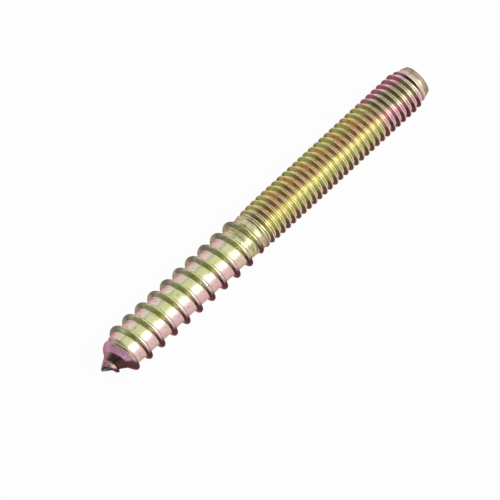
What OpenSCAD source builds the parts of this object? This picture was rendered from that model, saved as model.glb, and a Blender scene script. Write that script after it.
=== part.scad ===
// Hanger bolt: a headless steel screw with a wood thread and gimlet point on one end
// and a metric machine thread on the other. Both threads are right-handed.
// It lies along X, with the point towards -X. The origin is on its axis, in the plane
// where the wood thread has run out and the machine thread begins.

/* [Wood end] */
// Length from the point to the plane between the two threads
wood_length = 28.3; // [18:0.1:38]
// Diameter over the crests of the wood thread
wood_diameter = 6.45; // [6:0.05:7]
// Diameter of the core between the ridges
wood_core_diameter = 5.05; // [4.6:0.05:5.3]
// Distance from one ridge to the next
wood_pitch = 2.38; // [2:0.02:3]
// Width of the ridge along its crest
ridge_crest = 0.36; // [0.1:0.02:0.5]
// Width of the ridge where its flanks meet the core
ridge_foot = 0.7; // [0.6:0.05:1]
// Length of the cone that the core narrows over
point_length = 3.9; // [3:0.1:6]
// Diameter of the blunt nose
nose_diameter = 0.4; // [0.2:0.05:0.8]

/* [Machine end] */
// Length from the plane between the two threads to the flat end
machine_length = 31.7; // [16:0.1:40]
// Diameter over the crests of the machine thread
machine_diameter = 5.95; // [5.8:0.01:6.1]
// Distance from one turn to the next
machine_pitch = 1; // [0.75:0.05:1.25]
// Length over which the machine thread grows to its full depth
lead_in = 4.7; // [1:0.1:8]
// Diameter of the flat end
end_face_diameter = 4.4; // [3.6:0.1:5.2]
// Slope of the chamfer, from the axis
chamfer_angle = 18; // [15:1:45]

/* [Middle] */
// Diameter of the plain wire that the threads are rolled on
blank_diameter = 5.34; // [5.2:0.01:5.6]

/* [Detail] */
// Flat facets in one turn of a thread
steps = 24; // [12:4:28]

/* [Hidden] */

// The facets lie on the true circle, so their corners are a little outside it
corner_scale = 1 / cos(180 / steps);
nose_length = 0.08;

// Wood ridge: height over the core, and its cross-section as [place along the axis, height].
// The places count from the middle of the crest, and the heights are shares of the full height.
ridge_height = (wood_diameter - wood_core_diameter) / 2;
fillet_width = 0.14;
fillet_height = 0.12;
ridge_corners = [
    [-ridge_foot / 2 - fillet_width, 0],
    [-ridge_foot / 2, fillet_height],
    [-ridge_crest / 2, 1],
    [ridge_crest / 2, 1],
    [ridge_foot / 2, fillet_height],
    [ridge_foot / 2 + fillet_width, 0]
];
// The gimlet start: the ridge begins here, soon has most of its height, and all of it past the cone
ridge_start = 0.71;
ridge_first_step = 4;
gimlet_rise = 0.9;
gimlet_share = 0.7;
// Where the cone ends, the flank that faces the point reaches further down it
cone_reach = 0.4;
// The run-out: the ridge sinks into the core, which grows to the blank over the same stretch
runout_length = 2.4;
ridge_end_gap = 0.15;

// Machine thread: depth, crest and root follow the 60 degree metric profile.
// Its faceted crests stand proud by crest_spare, which end_cut takes off to leave true round lands.
thread_depth = 0.57 * machine_pitch;
crest_spare = 0.04;
root_start = machine_pitch / 16 + thread_depth * tan(30);
crest_half = machine_pitch / 16 - crest_spare * tan(30);
thread_corners = [[-root_start, 0], [-crest_half, 1], [crest_half, 1], [root_start, 0]];
thread_start = 0.46 * machine_pitch;
thread_first_step = 9;
thread_overrun = 1.5 * machine_pitch;

// Radii
blank_r = blank_diameter / 2;
core_r = wood_core_diameter / 2;
crest_r = machine_diameter / 2;
root_r = crest_r - thread_depth;
nose_r = nose_diameter / 2;
end_r = end_face_diameter / 2;
clear_r = wood_diameter;

// Share of the way from a to b, from 0 to 1
function share(x, a, b) = max(0, min(1, (x - a) / (b - a)));

function smooth(t) = t * t * (3 - 2 * t);

// A point on the screw: x along it, r from its axis, on the corner line of the given step
function on_screw(x, r, step) =
    let (angle = (step + 0.5) * 360 / steps)
    [x, r * corner_scale * cos(angle), r * corner_scale * sin(angle)];

function ring(x, r) = [for (step = [0:steps - 1]) on_screw(x, r, step)];

// Core of the wood end, at d from the point: a blunt cone, the core, then up to the blank
function core_at(d) =
    let (cone = nose_r + (core_r - nose_r) * (d - nose_length) / (point_length - nose_length))
    let (growth = smooth(share(d, wood_length - runout_length, wood_length)))
    min(cone, core_r + (blank_r - core_r) * growth);

// Share of its full height that the ridge has, at d from the point
function ridge_at(d) =
    let (gimlet = gimlet_share * smooth(share(d, ridge_start - 0.1, ridge_start + gimlet_rise)))
    let (rest = (1 - gimlet_share) * smooth(share(d, 0.7 * point_length, 1.35 * point_length)))
    let (runout = share(d, wood_length - runout_length, wood_length - ridge_end_gap))
    max(0.03, (gimlet + rest) * (1 - runout * runout));

// How much further towards the point the ridge's foot reaches, at d from the point
function reach_at(d) =
    let (begun = smooth(share(d, 0.45 * point_length, 0.7 * point_length)))
    let (left = 1 - smooth(share(d, point_length, 1.35 * point_length)))
    cone_reach * begun * left;

// Row of the wood thread: the corners of the ridge's cross-section at one step round the axis.
// A lower ridge is narrower too, because its flanks keep their slope.
function wood_row(row) =
    let (d = ridge_start + wood_pitch * row / steps)
    let (size = ridge_at(d))
    [for (corner = ridge_corners)
        let (side = sign(corner[0]) * ridge_crest / 2)
        let (reach = corner[0] < -ridge_crest / 2 ? reach_at(d) : 0)
        let (place = d + side + (corner[0] - side) * size - reach)
        let (height = ridge_height * size * corner[1])
        on_screw(place - wood_length, core_at(place) + height, row + ridge_first_step)];

// Row of the machine thread. The metal pushed out of the root has raised the crest.
function machine_row(row) =
    let (x = thread_start + machine_pitch * row / steps)
    let (size = max(0.05, sin(90 * share(x, 0, lead_in))))
    [for (corner = thread_corners)
        let (full_r = root_r + (thread_depth + crest_spare) * corner[1])
        on_screw(x + corner[0], blank_r + (full_r - blank_r) * size, row + thread_first_step)];

wood_rows = floor((wood_length - ridge_end_gap - ridge_crest - ridge_start) / wood_pitch * steps);
machine_rows = ceil((machine_length + thread_overrun - thread_start) / machine_pitch * steps);
last_x = thread_start + machine_pitch * machine_rows / steps + machine_pitch;

// All points, from the nose to beyond the flat end
points = concat(
    [[-wood_length, 0, 0]],
    ring(nose_length - wood_length, nose_r),
    [for (row = [0:wood_rows]) each wood_row(row)],
    ring(0, blank_r),
    [for (row = [0:machine_rows]) each machine_row(row)],
    ring(last_x, root_r),
    [[last_x, 0, 0]]
);

// Where each part of the list of points begins
nose_ring = 1;
wood_first = nose_ring + steps;
middle_ring = wood_first + (wood_rows + 1) * len(ridge_corners);
machine_first = middle_ring + steps;
end_ring = machine_first + (machine_rows + 1) * len(thread_corners);
end_point = end_ring + steps;

// A thread is [first point, last row, last corner, step of its first row]
wood_thread = [wood_first, wood_rows, len(ridge_corners) - 1, ridge_first_step];
machine_thread = [machine_first, machine_rows, len(thread_corners) - 1, thread_first_step];

function at(thread, row, corner) = thread[0] + row * (thread[2] + 1) + corner;
function on_ring(first, thread, row) = first + (row + thread[3]) % steps;

// Triangles that fill an outline from its first corner
function fan(outline) = [for (i = [1:len(outline) - 2]) [outline[0], outline[i], outline[i + 1]]];

// The surface of a thread: along its corners, and from each turn to the next
function thread_faces(thread) = concat(
    [for (row = [0:thread[1] - 1], corner = [0:thread[2] - 1])
        each fan([at(thread, row, corner), at(thread, row, corner + 1),
            at(thread, row + 1, corner + 1), at(thread, row + 1, corner)])],
    [for (row = [0:thread[1] - steps - 1])
        each fan([at(thread, row, thread[2]), at(thread, row + steps, 0),
            at(thread, row + steps + 1, 0), at(thread, row + 1, thread[2])])]
);

// From a ring to the first turn, with the ridge's own end face
function start_faces(thread, first) = concat(
    [for (row = [0:steps - 2])
        each fan([on_ring(first, thread, row), at(thread, row, 0),
            at(thread, row + 1, 0), on_ring(first, thread, row + 1)])],
    fan([on_ring(first, thread, steps - 1), at(thread, steps - 1, 0), at(thread, steps, 0),
        at(thread, 0, thread[2]), at(thread, 0, 0), on_ring(first, thread, steps)]),
    fan([for (corner = [thread[2]:-1:0]) at(thread, 0, corner)])
);

// From the last turn to a ring, with the ridge's own end face
function finish_faces(thread, first) =
    let (last = thread[1])
    let (turn = last - steps)
    concat(
        fan([at(thread, turn + 1, thread[2]), at(thread, turn, thread[2]), at(thread, last, 0),
            at(thread, last, thread[2]), on_ring(first, thread, last), on_ring(first, thread, turn + 1)]),
        [for (row = [turn + 1:last - 1])
            each fan([at(thread, row, thread[2]), on_ring(first, thread, row),
                on_ring(first, thread, row + 1), at(thread, row + 1, thread[2])])],
        fan([for (corner = [0:thread[2]]) at(thread, last, corner)])
    );

faces = concat(
    [for (step = [0:steps - 1]) [0, nose_ring + step, nose_ring + (step + 1) % steps]],
    start_faces(wood_thread, nose_ring),
    thread_faces(wood_thread),
    finish_faces(wood_thread, middle_ring),
    start_faces(machine_thread, middle_ring),
    thread_faces(machine_thread),
    finish_faces(machine_thread, end_ring),
    [for (step = [0:steps - 1]) [end_point, end_ring + (step + 1) % steps, end_ring + step]]
);

// The bar with both threads, still too long and a little too thick at the machine end
module threaded_bar() {
    polyhedron(points, faces, convexity = 10);
}

// What the machine end is cut to: the crest cylinder, and a chamfer that runs down to the flat end
module end_cut() {
    chamfer_start = machine_length - (crest_r - end_r) / tan(chamfer_angle);
    rotate([0, 90, 0]) rotate_extrude($fn = 96) polygon([
        [0, -wood_length - 1],
        [clear_r, -wood_length - 1],
        [clear_r, 0],
        [crest_r, 0],
        [crest_r, chamfer_start],
        [end_r, machine_length],
        [0, machine_length]
    ]);
}

module hanger_bolt() {
    color("darkkhaki") intersection() {
        threaded_bar();
        end_cut();
    }
}

hanger_bolt();
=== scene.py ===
import bpy
import bmesh
import math
from mathutils import Matrix, Vector


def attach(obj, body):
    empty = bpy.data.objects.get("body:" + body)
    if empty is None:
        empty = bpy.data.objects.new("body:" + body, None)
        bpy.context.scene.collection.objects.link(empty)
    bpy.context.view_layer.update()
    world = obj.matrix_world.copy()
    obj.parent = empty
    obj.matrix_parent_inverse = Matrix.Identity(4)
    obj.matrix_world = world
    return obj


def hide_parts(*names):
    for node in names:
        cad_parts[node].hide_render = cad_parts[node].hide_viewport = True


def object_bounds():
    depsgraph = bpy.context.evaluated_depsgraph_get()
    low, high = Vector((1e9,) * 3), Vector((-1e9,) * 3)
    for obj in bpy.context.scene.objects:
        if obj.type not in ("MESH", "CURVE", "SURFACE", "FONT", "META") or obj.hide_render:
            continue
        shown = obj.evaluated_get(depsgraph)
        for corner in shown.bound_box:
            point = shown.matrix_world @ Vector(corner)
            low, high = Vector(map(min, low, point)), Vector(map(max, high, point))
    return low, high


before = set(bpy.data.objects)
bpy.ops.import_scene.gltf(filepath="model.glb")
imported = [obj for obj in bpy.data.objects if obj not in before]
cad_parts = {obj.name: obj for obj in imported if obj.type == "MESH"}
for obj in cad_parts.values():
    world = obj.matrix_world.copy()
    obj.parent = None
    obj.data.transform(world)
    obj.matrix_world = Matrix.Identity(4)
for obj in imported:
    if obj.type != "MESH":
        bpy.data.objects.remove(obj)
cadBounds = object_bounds()
mm = 0.001
print("frame loaded")


def srgb(code):
    # sRGB hex to the linear colour that Blender works in
    shares = [int(code[i:i + 2], 16) / 255 for i in (1, 3, 5)]
    return [s / 12.92 if s <= 0.04045 else ((s + 0.055) / 1.055) ** 2.4 for s in shares] + [1.0]


def addNode(tree, kind, links=None, curve=(), ramp=(), **settings):
    # links: input name or index -> a socket, a node (its first output) or a plain value
    # curve: points of a Float Curve, ramp: places and colours of a Color Ramp
    node = tree.nodes.new(kind)
    for name, value in settings.items():
        setattr(node, name, value)
    for place in curve[2:]:
        node.mapping.curves[0].points.new(*place)
    for i, place in enumerate(curve):
        point = node.mapping.curves[0].points[i]
        point.location = place
        point.handle_type = "VECTOR"
    if curve:
        node.mapping.update()
    for place, colour in ramp[2:]:
        node.color_ramp.elements.new(place)
    for i, (place, colour) in enumerate(ramp):
        node.color_ramp.elements[i].position = place
        node.color_ramp.elements[i].color = srgb(colour)
    for key, value in (links or {}).items():
        if isinstance(value, bpy.types.Node):
            value = value.outputs[0]
        if isinstance(value, bpy.types.NodeSocket):
            tree.links.new(value, node.inputs[key])
        else:
            node.inputs[key].default_value = value
    return node


# Sizes of the screw in millimetres, the same as the solid's. X runs from the point to the flat end.
screw = {
    "tipX": -28.3,
    "endX": 31.7,
    "blankRadius": 2.67,
    "steps": 96,  # rows in one turn
    "capRings": 8,
    "weld": 0.002,  # points this close become one where the pieces of the surface meet
    "sliver": 0.0005,  # shorter edges are taken out
}

# Wood thread: profile points are (mm from the crest's middle, share of the full height)
wood = {
    "pitch": 2.38,
    "crestAtStart": -30.416,  # crest's middle at angle 0, one turn before the point
    "turns": 14,
    "coreRadius": 2.525,
    "ridgeHeight": 0.70,
    "noseRadius": 0.2,
    "noseLength": 0.08,
    "pointLength": 3.9,
    "gimletFrom": 0.35,  # mm from the tip, the ridge rises to gimletShare of its height
    "gimletTo": 1.6,
    "gimletShare": 0.7,
    "fullFrom": 0.7,  # shares of the point's length, the ridge rises to its full height
    "fullTo": 1.35,
    "runout": 2.4,
    "coneReach": 0.4,
    "reachFrom": 0.45,  # shares of the point's length, the reach down the cone comes and goes
    "reachFull": 0.7,
    "reachDrops": 1.0,
    "reachGone": 1.35,
    "profile": [(-1.19, 0), (-0.84, 0), (-0.56, 0.005), (-0.48, 0.03), (-0.42, 0.075), (-0.37, 0.16),
                (-0.225, 0.80), (-0.19, 0.90), (-0.12, 0.98), (0, 1), (0.12, 0.98), (0.19, 0.90),
                (0.225, 0.80), (0.37, 0.16), (0.42, 0.075), (0.48, 0.03), (0.56, 0.005),
                (0.84, 0), (1.19, 0)],
    "footReach": [0, 0.5, 0.9, 1, 1, 1, 0.2] + [0] * 12,  # share of the reach at each profile point
}

# Machine thread, with the 60 degree profile, rounded roots and slightly broken crests
machine = {
    "pitch": 1.0,
    "crestAtStart": -0.9358,  # crest's middle at angle 0, in the turn before X = 0
    "turns": 34,
    "crestRadius": 2.975,
    "depth": 0.57,
    "leadIn": 4.7,
    "leadInPower": 0.45,
    "endRadius": 2.2,
    "chamferSlope": 18,
    "profile": [(-0.5, 0), (-0.45, 0.005), (-0.405, 0.04), (-0.37, 0.10), (-0.34, 0.165),
                (-0.095, 0.935), (-0.065, 0.99), (0, 1), (0.065, 0.99), (0.095, 0.935),
                (0.34, 0.165), (0.37, 0.10), (0.405, 0.04), (0.45, 0.005), (0.5, 0)],
}


def leanPoints(profile):
    # 0 on flanks that face the point, 0.5 on level stretches, 1 on flanks that face the flat end.
    # A step of half the height between neighbours counts as a full flank.
    last = len(profile) - 1
    points = []
    for i in range(last + 1):
        a, b = profile[max(i - 1, 0)], profile[min(i + 1, last)]
        steep = min(1.0, abs(b[1] - a[1]) / 0.5)
        points.append((i / last, 0.5 - 0.5 * steep * (1 if b[1] > a[1] else -1)))
    return points


def sweepNodes(tree, sizes, group):
    # Rows follow the helix and columns follow the profile. Returns the grid, then for each of its points:
    # x along the screw, the profile's height, the angle, which way it faces, and its share of the columns.
    columns = len(sizes["profile"]) - 1
    rowCount = addNode(tree, "ShaderNodeMath", {0: group.outputs["Turns"], 1: group.outputs["Steps"]},
                       operation="MULTIPLY")
    rowPoints = addNode(tree, "ShaderNodeMath", {0: rowCount, 1: 1.0}, operation="ADD")
    grid = addNode(tree, "GeometryNodeMeshGrid", {"Vertices X": rowPoints, "Vertices Y": columns + 1})
    index = addNode(tree, "GeometryNodeInputIndex")
    row = addNode(tree, "ShaderNodeMath", {0: addNode(tree, "ShaderNodeMath",
                  {0: index, 1: columns + 1.0}, operation="DIVIDE"), 1: 0.0}, operation="FLOOR")
    column = addNode(tree, "ShaderNodeMath", {0: index, 1: columns + 1.0}, operation="MODULO")
    share = addNode(tree, "ShaderNodeMath", {0: column, 1: float(columns)}, operation="DIVIDE")
    places = [(i / columns, p[0] / sizes["pitch"] + 0.5) for i, p in enumerate(sizes["profile"])]
    heights = [(i / columns, p[1]) for i, p in enumerate(sizes["profile"])]
    place = addNode(tree, "ShaderNodeFloatCurve", {"Value": share}, curve=places,
                    label="place in the profile")
    height = addNode(tree, "ShaderNodeFloatCurve", {"Value": share}, curve=heights, label="profile height")
    lean = addNode(tree, "ShaderNodeFloatCurve", {"Value": share}, curve=leanPoints(sizes["profile"]),
                   label="which way the profile faces")
    turn = addNode(tree, "ShaderNodeMath", {0: row, 1: group.outputs["Steps"]}, operation="DIVIDE")
    angle = addNode(tree, "ShaderNodeMath", {0: turn, 1: math.tau}, operation="MULTIPLY")
    along = addNode(tree, "ShaderNodeMath", {0: turn, 1: place}, operation="ADD")
    middle = addNode(tree, "ShaderNodeMath", {0: along, 1: 0.5}, operation="SUBTRACT")
    x = addNode(tree, "ShaderNodeMath", {0: middle, 1: group.outputs["Pitch"], 2: group.outputs["Start"]},
                operation="MULTIPLY_ADD")
    return grid, x, height, angle, lean, share


def placeNodes(tree, grid, x, radius, angle, marks):
    # Puts the grid's points round the axis and stores the marks that the plating reads:
    # relief (share of a ridge's full height here), grown (how far the thread has grown) and lean
    y = addNode(tree, "ShaderNodeMath", {0: radius, 1: addNode(tree, "ShaderNodeMath", {0: angle},
                operation="COSINE")}, operation="MULTIPLY")
    z = addNode(tree, "ShaderNodeMath", {0: radius, 1: addNode(tree, "ShaderNodeMath", {0: angle},
                operation="SINE")}, operation="MULTIPLY")
    spot = addNode(tree, "ShaderNodeCombineXYZ", {"X": x, "Y": y, "Z": z})
    inMetres = addNode(tree, "ShaderNodeVectorMath", {0: spot, "Scale": mm}, operation="SCALE")
    marked = grid
    for name, value in marks.items():
        marked = addNode(tree, "GeometryNodeStoreNamedAttribute",
                         {"Geometry": marked, "Name": name, "Value": value},
                         data_type="FLOAT", domain="POINT")
    return addNode(tree, "GeometryNodeSetPosition", {"Geometry": marked, "Position": inMetres})


def newTree(name, numbers):
    tree = bpy.data.node_groups.new(name, "GeometryNodeTree")
    tree.interface.new_socket("Geometry", in_out="OUTPUT", socket_type="NodeSocketGeometry")
    for socketName, value in numbers.items():
        socket = tree.interface.new_socket(socketName, in_out="INPUT", socket_type="NodeSocketFloat")
        socket.default_value = value
    return tree, addNode(tree, "NodeGroupInput")


def woodThreadTree():
    tree, group = newTree("wood thread", {"Pitch": wood["pitch"], "Turns": wood["turns"],
                          "Steps": screw["steps"], "Start": wood["crestAtStart"],
                          "Core radius": wood["coreRadius"], "Ridge height": wood["ridgeHeight"],
                          "Cone reach": wood["coneReach"]})
    tip = screw["tipX"]
    grid, ridgeX, height, angle, lean, share = sweepNodes(tree, wood, group)
    # where the cone ends, the flank that faces the point reaches further down it
    columns = len(wood["profile"]) - 1
    reaches = [(i / columns, reach) for i, reach in enumerate(wood["footReach"])]
    foot = addNode(tree, "ShaderNodeFloatCurve", {"Value": share}, curve=reaches,
                   label="flank facing the point")
    begun = addNode(tree, "ShaderNodeMapRange", {"Value": ridgeX,
                    "From Min": tip + wood["reachFrom"] * wood["pointLength"],
                    "From Max": tip + wood["reachFull"] * wood["pointLength"],
                    "To Max": group.outputs["Cone reach"]}, interpolation_type="SMOOTHSTEP")
    ended = addNode(tree, "ShaderNodeMapRange", {"Value": ridgeX,
                    "From Min": tip + wood["reachDrops"] * wood["pointLength"],
                    "From Max": tip + wood["reachGone"] * wood["pointLength"],
                    "To Min": 1.0, "To Max": 0.0}, interpolation_type="SMOOTHSTEP")
    bump = addNode(tree, "ShaderNodeMath", {0: begun, 1: ended}, operation="MULTIPLY")
    moved = addNode(tree, "ShaderNodeMath", {0: bump, 1: foot}, operation="MULTIPLY")
    reached = addNode(tree, "ShaderNodeMath", {0: ridgeX, 1: moved}, operation="SUBTRACT")
    x = addNode(tree, "ShaderNodeClamp", {"Value": reached, "Min": tip + wood["noseLength"], "Max": 0.0})
    cone = addNode(tree, "ShaderNodeMapRange", {"Value": x, "From Min": tip + wood["noseLength"],
                   "From Max": tip + wood["pointLength"], "To Min": wood["noseRadius"],
                   "To Max": group.outputs["Core radius"]})
    growth = addNode(tree, "ShaderNodeMapRange", {"Value": x, "From Min": -wood["runout"], "From Max": 0.0,
                     "To Max": screw["blankRadius"] - wood["coreRadius"]}, interpolation_type="SMOOTHSTEP")
    core = addNode(tree, "ShaderNodeMath", {0: cone, 1: growth}, operation="ADD")
    gimlet = addNode(tree, "ShaderNodeMapRange", {"Value": x, "From Min": tip + wood["gimletFrom"],
                     "From Max": tip + wood["gimletTo"], "To Max": wood["gimletShare"]},
                     interpolation_type="SMOOTHSTEP")
    rest = addNode(tree, "ShaderNodeMapRange", {"Value": x,
                   "From Min": tip + wood["fullFrom"] * wood["pointLength"],
                   "From Max": tip + wood["fullTo"] * wood["pointLength"],
                   "To Max": 1 - wood["gimletShare"]}, interpolation_type="SMOOTHSTEP")
    risen = addNode(tree, "ShaderNodeMath", {0: gimlet, 1: rest}, operation="ADD")
    sunk = addNode(tree, "ShaderNodeMapRange", {"Value": x, "From Min": -wood["runout"], "From Max": 0.0})
    sunkSquared = addNode(tree, "ShaderNodeMath", {0: sunk, 1: 2.0}, operation="POWER")
    left = addNode(tree, "ShaderNodeMath", {0: 1.0, 1: sunkSquared}, operation="SUBTRACT")
    size = addNode(tree, "ShaderNodeMath", {0: risen, 1: left}, operation="MULTIPLY")
    relief = addNode(tree, "ShaderNodeMath", {0: size, 1: height}, operation="MULTIPLY")
    radius = addNode(tree, "ShaderNodeMath", {0: relief, 1: group.outputs["Ridge height"], 2: core},
                     operation="MULTIPLY_ADD")
    marks = {"relief": relief, "grown": size, "lean": lean}
    return tree, placeNodes(tree, grid, x, radius, angle, marks)


def machineThreadTree():
    tree, group = newTree("machine thread", {"Pitch": machine["pitch"], "Turns": machine["turns"],
                          "Steps": screw["steps"], "Start": machine["crestAtStart"],
                          "Crest radius": machine["crestRadius"], "Depth": machine["depth"]})
    grid, threadX, height, angle, lean = sweepNodes(tree, machine, group)[:5]
    x = addNode(tree, "ShaderNodeClamp", {"Value": threadX, "Min": 0.0, "Max": screw["endX"]})
    # the thread grows out of the blank, deepest change first
    begun = addNode(tree, "ShaderNodeMapRange", {"Value": x, "From Max": machine["leadIn"]})
    eased = addNode(tree, "ShaderNodeMath", {0: begun, 1: machine["leadInPower"]}, operation="POWER")
    quarter = addNode(tree, "ShaderNodeMath", {0: eased, 1: math.pi / 2}, operation="MULTIPLY")
    size = addNode(tree, "ShaderNodeMath", {0: quarter}, operation="SINE")
    # the chamfer: crests come down to it first, then the roots
    slope = math.tan(math.radians(machine["chamferSlope"]))
    back = addNode(tree, "ShaderNodeMath", {0: screw["endX"], 1: x}, operation="SUBTRACT")
    chamfer = addNode(tree, "ShaderNodeMath", {0: back, 1: slope, 2: machine["endRadius"]},
                      operation="MULTIPLY_ADD")
    rise = addNode(tree, "ShaderNodeMath", {0: group.outputs["Crest radius"], 1: screw["blankRadius"]},
                   operation="SUBTRACT")
    fall = addNode(tree, "ShaderNodeMath", {0: rise, 1: group.outputs["Depth"]}, operation="SUBTRACT")
    edges = []
    for change in (rise, fall):
        grown = addNode(tree, "ShaderNodeMath", {0: change, 1: size, 2: screw["blankRadius"]},
                        operation="MULTIPLY_ADD")
        edges.append(addNode(tree, "ShaderNodeMath", {0: grown, 1: chamfer}, operation="MINIMUM"))
    deep = addNode(tree, "ShaderNodeMath", {0: edges[0], 1: edges[1]}, operation="SUBTRACT")
    radius = addNode(tree, "ShaderNodeMath", {0: deep, 1: height, 2: edges[1]}, operation="MULTIPLY_ADD")
    shareDeep = addNode(tree, "ShaderNodeMath", {0: deep, 1: group.outputs["Depth"]}, operation="DIVIDE")
    relief = addNode(tree, "ShaderNodeMath", {0: height, 1: shareDeep}, operation="MULTIPLY")
    marks = {"relief": relief, "grown": shareDeep, "lean": lean}
    return tree, placeNodes(tree, grid, x, radius, angle, marks)


def capTree(name, x, radius, crown, turnedOver):
    # A round cap: a polar grid with a crowned face, whose rim meets the end of a thread
    rings = screw["capRings"]
    tree, group = newTree(name, {"Radius": radius, "Crown": crown})
    steps = screw["steps"]
    grid = addNode(tree, "GeometryNodeMeshGrid", {"Vertices X": steps + 1, "Vertices Y": rings + 1})
    index = addNode(tree, "GeometryNodeInputIndex")
    row = addNode(tree, "ShaderNodeMath", {0: addNode(tree, "ShaderNodeMath",
                  {0: index, 1: rings + 1.0}, operation="DIVIDE"), 1: 0.0}, operation="FLOOR")
    ring = addNode(tree, "ShaderNodeMath", {0: index, 1: rings + 1.0}, operation="MODULO")
    share = addNode(tree, "ShaderNodeMath", {0: ring, 1: float(rings)}, operation="DIVIDE")
    angle = addNode(tree, "ShaderNodeMath", {0: row, 1: math.tau / steps}, operation="MULTIPLY")
    reach = addNode(tree, "ShaderNodeMath", {0: share, 1: group.outputs["Radius"]}, operation="MULTIPLY")
    squared = addNode(tree, "ShaderNodeMath", {0: share, 1: 2.0}, operation="POWER")
    low = addNode(tree, "ShaderNodeMath", {0: 1.0, 1: squared}, operation="SUBTRACT")
    face = addNode(tree, "ShaderNodeMath", {0: low, 1: group.outputs["Crown"], 2: x},
                   operation="MULTIPLY_ADD")
    placed = placeNodes(tree, grid, face, reach, angle, {"relief": 0.0, "grown": 0.0, "lean": 0.5})
    return tree, addNode(tree, "GeometryNodeFlipFaces", {"Mesh": placed}) if turnedOver else placed


def runTree(tree, last):
    # Ends a tree after its last node, evaluates it on an empty object and returns a plain mesh
    smooth = addNode(tree, "GeometryNodeSetShadeSmooth", {"Geometry": last})
    addNode(tree, "NodeGroupOutput", {"Geometry": smooth})
    host = bpy.data.objects.new(tree.name, bpy.data.meshes.new(tree.name))
    bpy.context.scene.collection.objects.link(host)
    modifier = host.modifiers.new(tree.name, "NODES")
    modifier.node_group = tree
    for item in tree.interface.items_tree:
        if item.in_out == "INPUT":
            modifier[item.identifier] = item.default_value
    graph = bpy.context.evaluated_depsgraph_get()
    mesh = bpy.data.meshes.new_from_object(host.evaluated_get(graph))
    host.modifiers.clear()
    bpy.data.objects.remove(host)
    return mesh


# Yellow passivated zinc: electroplated bright zinc under a thin chromate film.
# The film's colour runs in streaks along the screw: lime, straw and rose on a mirror-like metal. The colour
# is partly the film's own and partly painted sheen, since the streaks are set round the axis to lay its
# colour shift with the view angle onto the side the camera sees.
# Flanks that face the point, and wood crests away from the bright side, are coloured olive, brown or maroon:
# painted shade.
plating = {
    "woodLevel": [(0.0, "#F4CCCA"), (0.3, "#EFD2C8"), (0.5, "#EBDCC4"), (0.75, "#EAE8C4"), (1.0, "#DEE2A2")],
    "woodRidge": [(0.0, "#807E6A"), (0.3, "#ACB692"), (0.6, "#BECC94"), (1.0, "#B4BC7E")],
    "machineLevel": [(0.0, "#FBE8C6"), (0.5, "#FBE8BE"), (1.0, "#F4E8B4")],
    "machineRidge": [(0.0, "#86622F"), (0.25, "#968E4C"), (0.6, "#AAAC5C"), (1.0, "#A2B266")],
    "rosyLevel": [(0.0, "#F8D8DA"), (1.0, "#FAE2CC")],
    "rosyRidge": [(0.0, "#A8687A"), (0.35, "#94666C"), (0.6, "#6E7E56"), (1.0, "#46663A")],
    "woodStreaks": 3,
    "woodTurn": 104.6,  # degrees round the axis, middle of a lime streak, carried on to X = 0; set towards the camera, as painted sheen
    "woodTwist": 0.4,  # degrees that the streaks turn by in each mm along the screw
    "machineStreaks": 4,
    "machineTurn": 136.2,
    "machineTwist": 0.4,
    "rosyStreaks": 3,
    "rosyTurn": -36.0,
    "rosyTwist": 5.0,
    "wander": 2.2,  # radians that the noise moves the streaks by
    "patchSize": 4.0,  # mm
    "machineFrom": -0.5,  # mm along X, where one colouring changes to the next
    "machineTo": 1.5,
    "rosyFrom": 22.4,
    "rosyTo": 24.2,
    "strawFrom": -5.5,  # bare wire round the middle is straw
    "strawTo": -2.5,
    "straw": "#E2DDAE",
    "endFrom": 30.5,  # the chamfer is duller
    "endTo": 31.0,
    "endTone": "#C6B4A0",
    "pointFrom": -24.2,  # the point took the thickest film
    "pointTo": -24.9,
    "pointLevel": "#B48A96",
    "pointRidge": "#D49CB8",
    "crestHighlight": "#F6E2C0",  # painted highlight on the crests of the gimlet
    "noseFrom": -27.6,  # the nose is worn back to bare metal
    "noseTo": -28.0,
    "nose": "#8E8E92",
    "woodShadeTurn": 188.0,  # degrees round the axis, middle of the side where the ridges get painted shade
    "woodShadeReach": (0.7, 0.87),  # cosines of the angle from there, over which it comes in
    "woodShade": "#5E4446",
    # painted shade on one side of the machine ridges
    "machineShadeTurn": 206.0,
    "machineShadeReach": (0.45, 0.8),
    "machineShade": "#5C5848",
    "brightTurn": 111.0,  # middle of the side where the wood crests are bright; crests away from it get painted shade, the gimlet's crests on it a painted highlight
    "brightReach": (0.55, 0.9),
    # painted shade on one side of the point's level metal
    "pointShadeTurn": 188.0,
    "pointShadeReach": (0.12, 0.42),
    "pointShade": "#54403E",
    "amberTurn": 70.0,
    "amberReach": (0.9, 0.98),
    "amberAt": 4.86,  # mm along X, one of the amber spots
    "amberStep": 3.0,  # mm from one to the next
    "amberFrom": 2.9,
    "amberTo": 3.4,
    "amberWave": (0.45, 0.75),
    "amber": "#CA9850",
    "flankLean": (0.42, 0.12),  # ranges of the stored marks, over which the painted shade or the painted crest highlight comes in
    "flankGrown": (0.15, 0.6),
    "crestRelief": (0.2, 0.5),
    "crestHighlightRelief": (0.3, 0.45),
    "crestHighlightLean": (0.3, 0.42),
    "scuffSize": 0.4,  # mm
    "scuffDepth": 0.024,
    "rollSize": 0.16,  # mm between the fine marks that the rolls left round the bar
    "rollWave": 1.6,  # mm, how soon they wander
    "rollDepth": 0.03,
    "rollTone": 0.85,  # how dark they are
    "rollNoise": (0.42, 0.6),
    "rollColour": "#8C845A",
    "roughness": (0.2, 0.38),
    "roughNoise": (0.35, 0.65),
    "speckTone": 0.55,
    "speckNoise": (0.57, 0.68),
    "edgeTint": "#E8B4BE",
}


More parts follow.
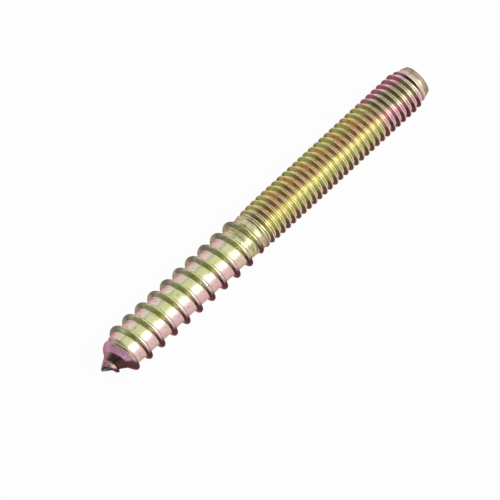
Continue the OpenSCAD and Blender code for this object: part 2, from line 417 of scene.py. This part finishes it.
def yellowZinc():
    material = bpy.data.materials.new("yellow passivated zinc")
    material.use_nodes = True
    tree = material.node_tree
    tree.nodes.clear()
    spot = addNode(tree, "ShaderNodeTexCoord").outputs["Object"]
    axes = addNode(tree, "ShaderNodeSeparateXYZ", {0: spot})
    x = axes.outputs["X"]
    angle = addNode(tree, "ShaderNodeMath", {0: axes.outputs["Z"], 1: axes.outputs["Y"]}, operation="ARCTAN2")
    patches = addNode(tree, "ShaderNodeTexNoise", {"Vector": spot, "Scale": 1 / (plating["patchSize"] * mm),
                      "Detail": 4.0, "Roughness": 0.6})
    wander = addNode(tree, "ShaderNodeMapRange", {"Value": patches, "To Min": -plating["wander"] / 2,
                     "To Max": plating["wander"] / 2})

    # colours of the film on level metal and of the ridges' painted shade, for each stretch of the screw; the
    # streaks in both are partly the film's own colour, partly painted sheen
    colours = {}
    for stretch in ("wood", "machine", "rosy"):
        twist = -math.radians(plating[stretch + "Twist"]) / mm
        untwisted = addNode(tree, "ShaderNodeMath", {0: x, 1: twist, 2: angle}, operation="MULTIPLY_ADD")
        turned = addNode(tree, "ShaderNodeMath", {0: untwisted, 1: math.radians(plating[stretch + "Turn"])},
                         operation="SUBTRACT")
        phase = addNode(tree, "ShaderNodeMath", {0: turned, 1: plating[stretch + "Streaks"], 2: wander},
                        operation="MULTIPLY_ADD")
        wave = addNode(tree, "ShaderNodeMath", {0: phase}, operation="COSINE")
        film = addNode(tree, "ShaderNodeMath", {0: wave, 1: 0.5, 2: 0.5}, operation="MULTIPLY_ADD")
        for part in ("Level", "Ridge"):
            name = stretch + part
            colours[name] = addNode(tree, "ShaderNodeValToRGB", {0: film}, ramp=plating[name])

    # how far along each stretch has begun
    begun = {}
    for name in ("machine", "amber", "rosy", "straw", "end", "point", "nose"):
        begun[name] = addNode(tree, "ShaderNodeMapRange", {"Value": x,
                              "From Min": plating[name + "From"] * mm, "From Max": plating[name + "To"] * mm})
    onMachine = addNode(tree, "ShaderNodeMath", {0: begun["machine"], 1: begun["rosy"]}, operation="SUBTRACT")
    onAmber = addNode(tree, "ShaderNodeMath", {0: begun["amber"], 1: begun["rosy"]}, operation="SUBTRACT")
    onWood = addNode(tree, "ShaderNodeMath", {0: 1.0, 1: begun["machine"]}, operation="SUBTRACT")
    onMiddle = addNode(tree, "ShaderNodeMath", {0: begun["straw"], 1: begun["machine"]}, operation="SUBTRACT")

    # sides of the screw, by the angle round its axis: where the painted shade, the painted crest highlight
    # and the amber spots go
    sides = {}
    for name in ("woodShade", "machineShade", "pointShade", "bright", "amber"):
        away = addNode(tree, "ShaderNodeMath", {0: angle, 1: math.radians(plating[name + "Turn"])},
                       operation="SUBTRACT")
        closeness = addNode(tree, "ShaderNodeMath", {0: away}, operation="COSINE")
        low, high = plating[name + "Reach"]
        sides[name] = addNode(tree, "ShaderNodeMapRange", {"Value": closeness, "From Min": low,
                              "From Max": high}, interpolation_type="SMOOTHSTEP")
    shadeSide = addNode(tree, "ShaderNodeMix", {0: onMachine, 2: sides["woodShade"],
                        3: sides["machineShade"]})
    shade = addNode(tree, "ShaderNodeMix", {0: onMachine, 6: srgb(plating["woodShade"]),
                    7: srgb(plating["machineShade"])}, data_type="RGBA").outputs[2]

    # thin film: straw round the middle, duller on the chamfer, lilac on the point, with painted shade on one
    # side of the point
    level = colours["woodLevel"].outputs[0]
    pointShade = addNode(tree, "ShaderNodeMath", {0: sides["pointShade"], 1: begun["point"]},
                         operation="MULTIPLY")
    for share, colour in ((begun["machine"], colours["machineLevel"].outputs[0]),
                          (begun["rosy"], colours["rosyLevel"].outputs[0]),
                          (onMiddle, srgb(plating["straw"])),
                          (begun["end"], srgb(plating["endTone"])),
                          (begun["point"], srgb(plating["pointLevel"])),
                          (pointShade, srgb(plating["pointShade"]))):
        level = addNode(tree, "ShaderNodeMix", {0: share, 6: level, 7: colour}, data_type="RGBA").outputs[2]

    # ridge colours: every third turn of the machine thread has an amber spot, and one side takes the painted
    # shade
    fromSpot = addNode(tree, "ShaderNodeMath", {0: x, 1: plating["amberAt"] * mm}, operation="SUBTRACT")
    inTurns = addNode(tree, "ShaderNodeMath", {0: fromSpot, 1: math.tau / (plating["amberStep"] * mm)},
                      operation="MULTIPLY")
    spots = addNode(tree, "ShaderNodeMath", {0: inTurns}, operation="COSINE")
    low, high = plating["amberWave"]
    spotted = addNode(tree, "ShaderNodeMapRange", {"Value": spots, "From Min": low, "From Max": high})
    amberHere = addNode(tree, "ShaderNodeMath", {0: spotted, 1: sides["amber"]}, operation="MULTIPLY")
    amberShare = addNode(tree, "ShaderNodeMath", {0: amberHere, 1: onAmber}, operation="MULTIPLY")
    ridge = colours["woodRidge"].outputs[0]
    for share, colour in ((begun["machine"], colours["machineRidge"].outputs[0]),
                          (amberShare, srgb(plating["amber"])),
                          (begun["rosy"], colours["rosyRidge"].outputs[0]),
                          (begun["point"], srgb(plating["pointRidge"])),
                          (shadeSide, shade)):
        ridge = addNode(tree, "ShaderNodeMix", {0: share, 6: ridge, 7: colour}, data_type="RGBA").outputs[2]

    # painted shade: the ridge colours go on flanks that face the point, and on wood crests away from the
    # bright side too
    relief = addNode(tree, "ShaderNodeAttribute", attribute_name="relief").outputs["Fac"]
    grown = addNode(tree, "ShaderNodeAttribute", attribute_name="grown").outputs["Fac"]
    lean = addNode(tree, "ShaderNodeAttribute", attribute_name="lean").outputs["Fac"]
    within = {}
    for name, mark in (("flankLean", lean), ("flankGrown", grown), ("crestRelief", relief),
                       ("crestHighlightRelief", relief), ("crestHighlightLean", lean)):
        low, high = plating[name]
        within[name] = addNode(tree, "ShaderNodeMapRange", {"Value": mark, "From Min": low, "From Max": high})
    onFlank = addNode(tree, "ShaderNodeMath", {0: within["flankLean"], 1: within["flankGrown"]},
                      operation="MULTIPLY")
    paintedShadeSide = addNode(tree, "ShaderNodeMath", {0: 1.0, 1: sides["bright"]}, operation="SUBTRACT")
    paintedShadeOnWood = addNode(tree, "ShaderNodeMath", {0: paintedShadeSide, 1: onWood}, operation="MULTIPLY")
    onCrest = addNode(tree, "ShaderNodeMath", {0: within["crestRelief"], 1: paintedShadeOnWood}, operation="MULTIPLY")
    paintedShadeShare = addNode(tree, "ShaderNodeMath", {0: onFlank, 1: onCrest}, operation="MAXIMUM")

    # painted highlight: the gimlet's crests on the bright side turn a pale straw
    onTop = addNode(tree, "ShaderNodeMath", {0: within["crestHighlightRelief"], 1: within["crestHighlightLean"]},
                    operation="MULTIPLY")
    topHere = addNode(tree, "ShaderNodeMath", {0: onTop, 1: sides["bright"]}, operation="MULTIPLY")
    crestHighlight = addNode(tree, "ShaderNodeMath", {0: topHere, 1: begun["point"]}, operation="MULTIPLY")

    # fine marks that the rolls left round the bar, seen round the middle and on the chamfer
    scaled = addNode(tree, "ShaderNodeMath", {0: x, 1: 1 / (plating["rollSize"] * mm)}, operation="MULTIPLY")
    rolled = addNode(tree, "ShaderNodeCombineXYZ", {"X": scaled})
    wavy = addNode(tree, "ShaderNodeVectorMath", {0: spot, "Scale": 1 / (plating["rollWave"] * mm)},
                   operation="SCALE")
    winding = addNode(tree, "ShaderNodeVectorMath", {0: rolled, 1: wavy}, operation="ADD")
    marks = addNode(tree, "ShaderNodeTexNoise", {"Vector": winding, "Scale": 1.0, "Detail": 3.0})
    markShare = addNode(tree, "ShaderNodeMath", {0: onMiddle, 1: begun["end"]}, operation="MAXIMUM")
    markLevel = addNode(tree, "ShaderNodeMath", {0: marks, 1: markShare}, operation="MULTIPLY")
    low, high = plating["rollNoise"]
    markTone = addNode(tree, "ShaderNodeMapRange", {"Value": markLevel, "From Min": low, "From Max": high,
                       "To Max": plating["rollTone"]})

    # dark specks and scuffs
    scuffs = addNode(tree, "ShaderNodeTexNoise", {"Vector": spot, "Scale": 1 / (plating["scuffSize"] * mm),
                     "Detail": 5.0, "Roughness": 0.65})
    low, high = plating["speckNoise"]
    speck = addNode(tree, "ShaderNodeMapRange", {"Value": scuffs, "From Min": low, "From Max": high,
                    "To Min": 1.0, "To Max": plating["speckTone"]})
    colour = level
    for share, other in ((markTone, srgb(plating["rollColour"])), (paintedShadeShare, ridge),
                         (crestHighlight, srgb(plating["crestHighlight"])), (begun["nose"], srgb(plating["nose"]))):
        colour = addNode(tree, "ShaderNodeMix", {0: share, 6: colour, 7: other}, data_type="RGBA").outputs[2]
    speckled = addNode(tree, "ShaderNodeMix", {0: 1.0, 6: colour, 7: speck}, data_type="RGBA",
                       blend_type="MULTIPLY").outputs[2]

    marked = addNode(tree, "ShaderNodeBump", {"Height": markLevel, "Distance": plating["rollDepth"] * mm})
    bump = addNode(tree, "ShaderNodeBump", {"Height": scuffs, "Distance": plating["scuffDepth"] * mm,
                   "Normal": marked})
    low, high = plating["roughNoise"]
    polish = addNode(tree, "ShaderNodeMapRange", {"Value": scuffs, "From Min": low, "From Max": high,
                     "To Min": plating["roughness"][0], "To Max": plating["roughness"][1]})
    shader = addNode(tree, "ShaderNodeBsdfPrincipled", {
        "Base Color": speckled, "Metallic": 1.0, "Roughness": polish,
        "Specular Tint": srgb(plating["edgeTint"]), "Normal": bump})
    addNode(tree, "ShaderNodeOutputMaterial", {"Surface": shader})
    return material


def makeScrew(material):
    parts = [
        runTree(*woodThreadTree()),
        runTree(*machineThreadTree()),
        runTree(*capTree("nose", screw["tipX"] + wood["noseLength"], wood["noseRadius"],
                         -wood["noseLength"], True)),
        runTree(*capTree("flat end", screw["endX"], machine["endRadius"], 0.0, False)),
    ]
    body = bmesh.new()
    for part in parts:
        body.from_mesh(part)
    bmesh.ops.remove_doubles(body, verts=body.verts, dist=screw["weld"] * mm)
    bmesh.ops.dissolve_degenerate(body, edges=body.edges, dist=screw["sliver"] * mm)
    bmesh.ops.recalc_face_normals(body, faces=body.faces)
    mesh = bpy.data.meshes.new("plated screw")
    body.to_mesh(mesh)
    openEdges = sum(1 for edge in body.edges if not edge.is_manifold)
    body.free()
    mesh.materials.append(material)
    piece = bpy.data.objects.new("plated_screw", mesh)
    bpy.context.scene.collection.objects.link(piece)
    print("screw made:", len(mesh.polygons), "faces,", openEdges, "open edges")
    return piece


# The studio: a white sweep, one softbox, and a room that is bright overhead and dark towards the point
studio = {
    "floorSize": 1.6,
    "floorColour": "#F4F4F4",
    "floorSeen": 0.96,  # share of pure white that the camera sees, the rest has the shadow
    "floorGlossy": 0.42,  # the same for what the plating reflects
    "keyPower": 0.64,  # watts, for a softbox 0.4 m away
    "keyFrom": (0.35, -0.75, 0.66),
    "keyDistance": 0.4,
    "keySize": (0.4, 0.24),
    "skyBright": 0.88,
    "skyLow": 0.6,  # towards the point, near the floor
    "skyDark": 0.04,  # towards the point, higher up
    "skySide": (-0.45, 0.1),  # parts of the direction along X, dark side to bright side
    "skyRise": (0.32, 0.55),  # parts of the direction along Z, low to dark
    "gapAt": 0.57,
    "gapWidth": (0.03, 0.1),
    "gapLevel": 0.34,
}


def makeFloor():
    half = studio["floorSize"] / 2
    z = cadBounds[0][2]
    mesh = bpy.data.meshes.new("floor")
    corners = [(-half, -half, z), (half, -half, z), (half, half, z), (-half, half, z)]
    mesh.from_pydata(corners, [], [(0, 1, 2, 3)])
    floor = bpy.data.objects.new("floor", mesh)
    bpy.context.scene.collection.objects.link(floor)
    material = bpy.data.materials.new("white paper sweep")
    material.use_nodes = True
    tree = material.node_tree
    tree.nodes.clear()
    paper = addNode(tree, "ShaderNodeBsdfDiffuse", {"Color": srgb(studio["floorColour"])})
    glow = addNode(tree, "ShaderNodeEmission", {"Color": (1, 1, 1, 1), "Strength": 1.0})
    rays = addNode(tree, "ShaderNodeLightPath")
    camera = addNode(tree, "ShaderNodeMath", {0: rays.outputs["Is Camera Ray"], 1: studio["floorSeen"]},
                     operation="MULTIPLY")
    glossy = addNode(tree, "ShaderNodeMath", {0: rays.outputs["Is Glossy Ray"], 1: studio["floorGlossy"]},
                     operation="MULTIPLY")
    share = addNode(tree, "ShaderNodeMath", {0: camera, 1: glossy}, operation="MAXIMUM")
    mixed = addNode(tree, "ShaderNodeMixShader", {0: share, 1: paper, 2: glow})
    addNode(tree, "ShaderNodeOutputMaterial", {"Surface": mixed})
    mesh.materials.append(material)


def makeKey():
    # the softbox, turned towards the middle of the screw
    data = bpy.data.lights.new("key", "AREA")
    data.shape = "RECTANGLE"
    data.size, data.size_y = studio["keySize"]
    data.energy = studio["keyPower"]
    lamp = bpy.data.objects.new("key", data)
    bpy.context.scene.collection.objects.link(lamp)
    lamp.location = studio["keyDistance"] * Vector(studio["keyFrom"])
    lamp.rotation_euler = (-lamp.location).to_track_quat("-Z", "Y").to_euler()


def makeSky():
    world = bpy.data.worlds.new("studio room")
    bpy.context.scene.world = world
    world.use_nodes = True
    tree = world.node_tree
    tree.nodes.clear()
    outward = addNode(tree, "ShaderNodeTexCoord").outputs["Generated"]
    way = addNode(tree, "ShaderNodeSeparateXYZ", {0: outward})
    low, high = studio["skyRise"]
    dim = addNode(tree, "ShaderNodeMapRange", {"Value": way.outputs["Z"], "From Min": low, "From Max": high,
                  "To Min": studio["skyLow"], "To Max": studio["skyDark"]}, interpolation_type="SMOOTHSTEP")
    low, high = studio["skySide"]
    level = addNode(tree, "ShaderNodeMapRange", {"Value": way.outputs["X"], "From Min": low,
                    "From Max": high, "To Min": dim, "To Max": studio["skyBright"]},
                    interpolation_type="SMOOTHSTEP")
    # a dim gap between the ceiling panel and the wall panel behind the screw
    aside = addNode(tree, "ShaderNodeMath", {0: way.outputs["Y"], 1: studio["gapAt"]}, operation="SUBTRACT")
    distance = addNode(tree, "ShaderNodeMath", {0: aside}, operation="ABSOLUTE")
    low, high = studio["gapWidth"]
    gap = addNode(tree, "ShaderNodeMapRange", {"Value": distance, "From Min": low, "From Max": high,
                  "To Min": studio["gapLevel"], "To Max": 1.0}, interpolation_type="SMOOTHSTEP")
    dimmed = addNode(tree, "ShaderNodeMath", {0: level, 1: gap}, operation="MULTIPLY")
    rays = addNode(tree, "ShaderNodeLightPath")
    strength = addNode(tree, "ShaderNodeMath", {0: dimmed, 1: rays.outputs["Is Camera Ray"]},
                       operation="MAXIMUM")
    room = addNode(tree, "ShaderNodeBackground", {"Color": (1, 1, 1, 1), "Strength": strength})
    addNode(tree, "ShaderNodeOutputWorld", {"Surface": room})


# The photograph's view: long lens, screw running up to the right, point nearer the camera
view = {
    "azimuth": -46.6,
    "elevation": 60.9,
    "lens": 1500.0,
    "sensor": 36.0,
    "near": 0.1,  # metres from the camera, where it begins to see
    "far": 20.0,
    "width": 65.46,  # mm that the frame covers at the screw
    "spotOnAxis": 3.27,  # mm along X, the point on the axis that the next two are measured from
    "rightOfCentre": 2.33,
    "aboveCentre": 4.27,
}


def makeCamera():
    a, e = math.radians(view["azimuth"]), math.radians(view["elevation"])
    back = Vector((math.sin(a) * math.cos(e), -math.cos(a) * math.cos(e), math.sin(e)))
    right = Vector((math.cos(a), math.sin(a), 0))
    up = back.cross(right)
    data = bpy.data.cameras.new("camera")
    data.lens = view["lens"]
    data.sensor_width = view["sensor"]
    data.clip_start = view["near"]
    data.clip_end = view["far"]
    aim = Vector((view["spotOnAxis"], 0, 0)) - view["rightOfCentre"] * right - view["aboveCentre"] * up
    distance = view["width"] * data.lens / data.sensor_width
    camera = bpy.data.objects.new("camera", data)
    bpy.context.scene.collection.objects.link(camera)
    turn = Matrix((right, up, back)).transposed().to_4x4()
    camera.matrix_world = Matrix.Translation((aim + back * distance) * mm) @ turn
    bpy.context.scene.camera = camera


screwPiece = makeScrew(yellowZinc())
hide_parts("hanger_bolt")
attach(screwPiece, "root")
print("screw plated")

makeFloor()
makeSky()
makeKey()
makeCamera()
bpy.context.scene.view_settings.view_transform = "Standard"
print("studio and camera placed")
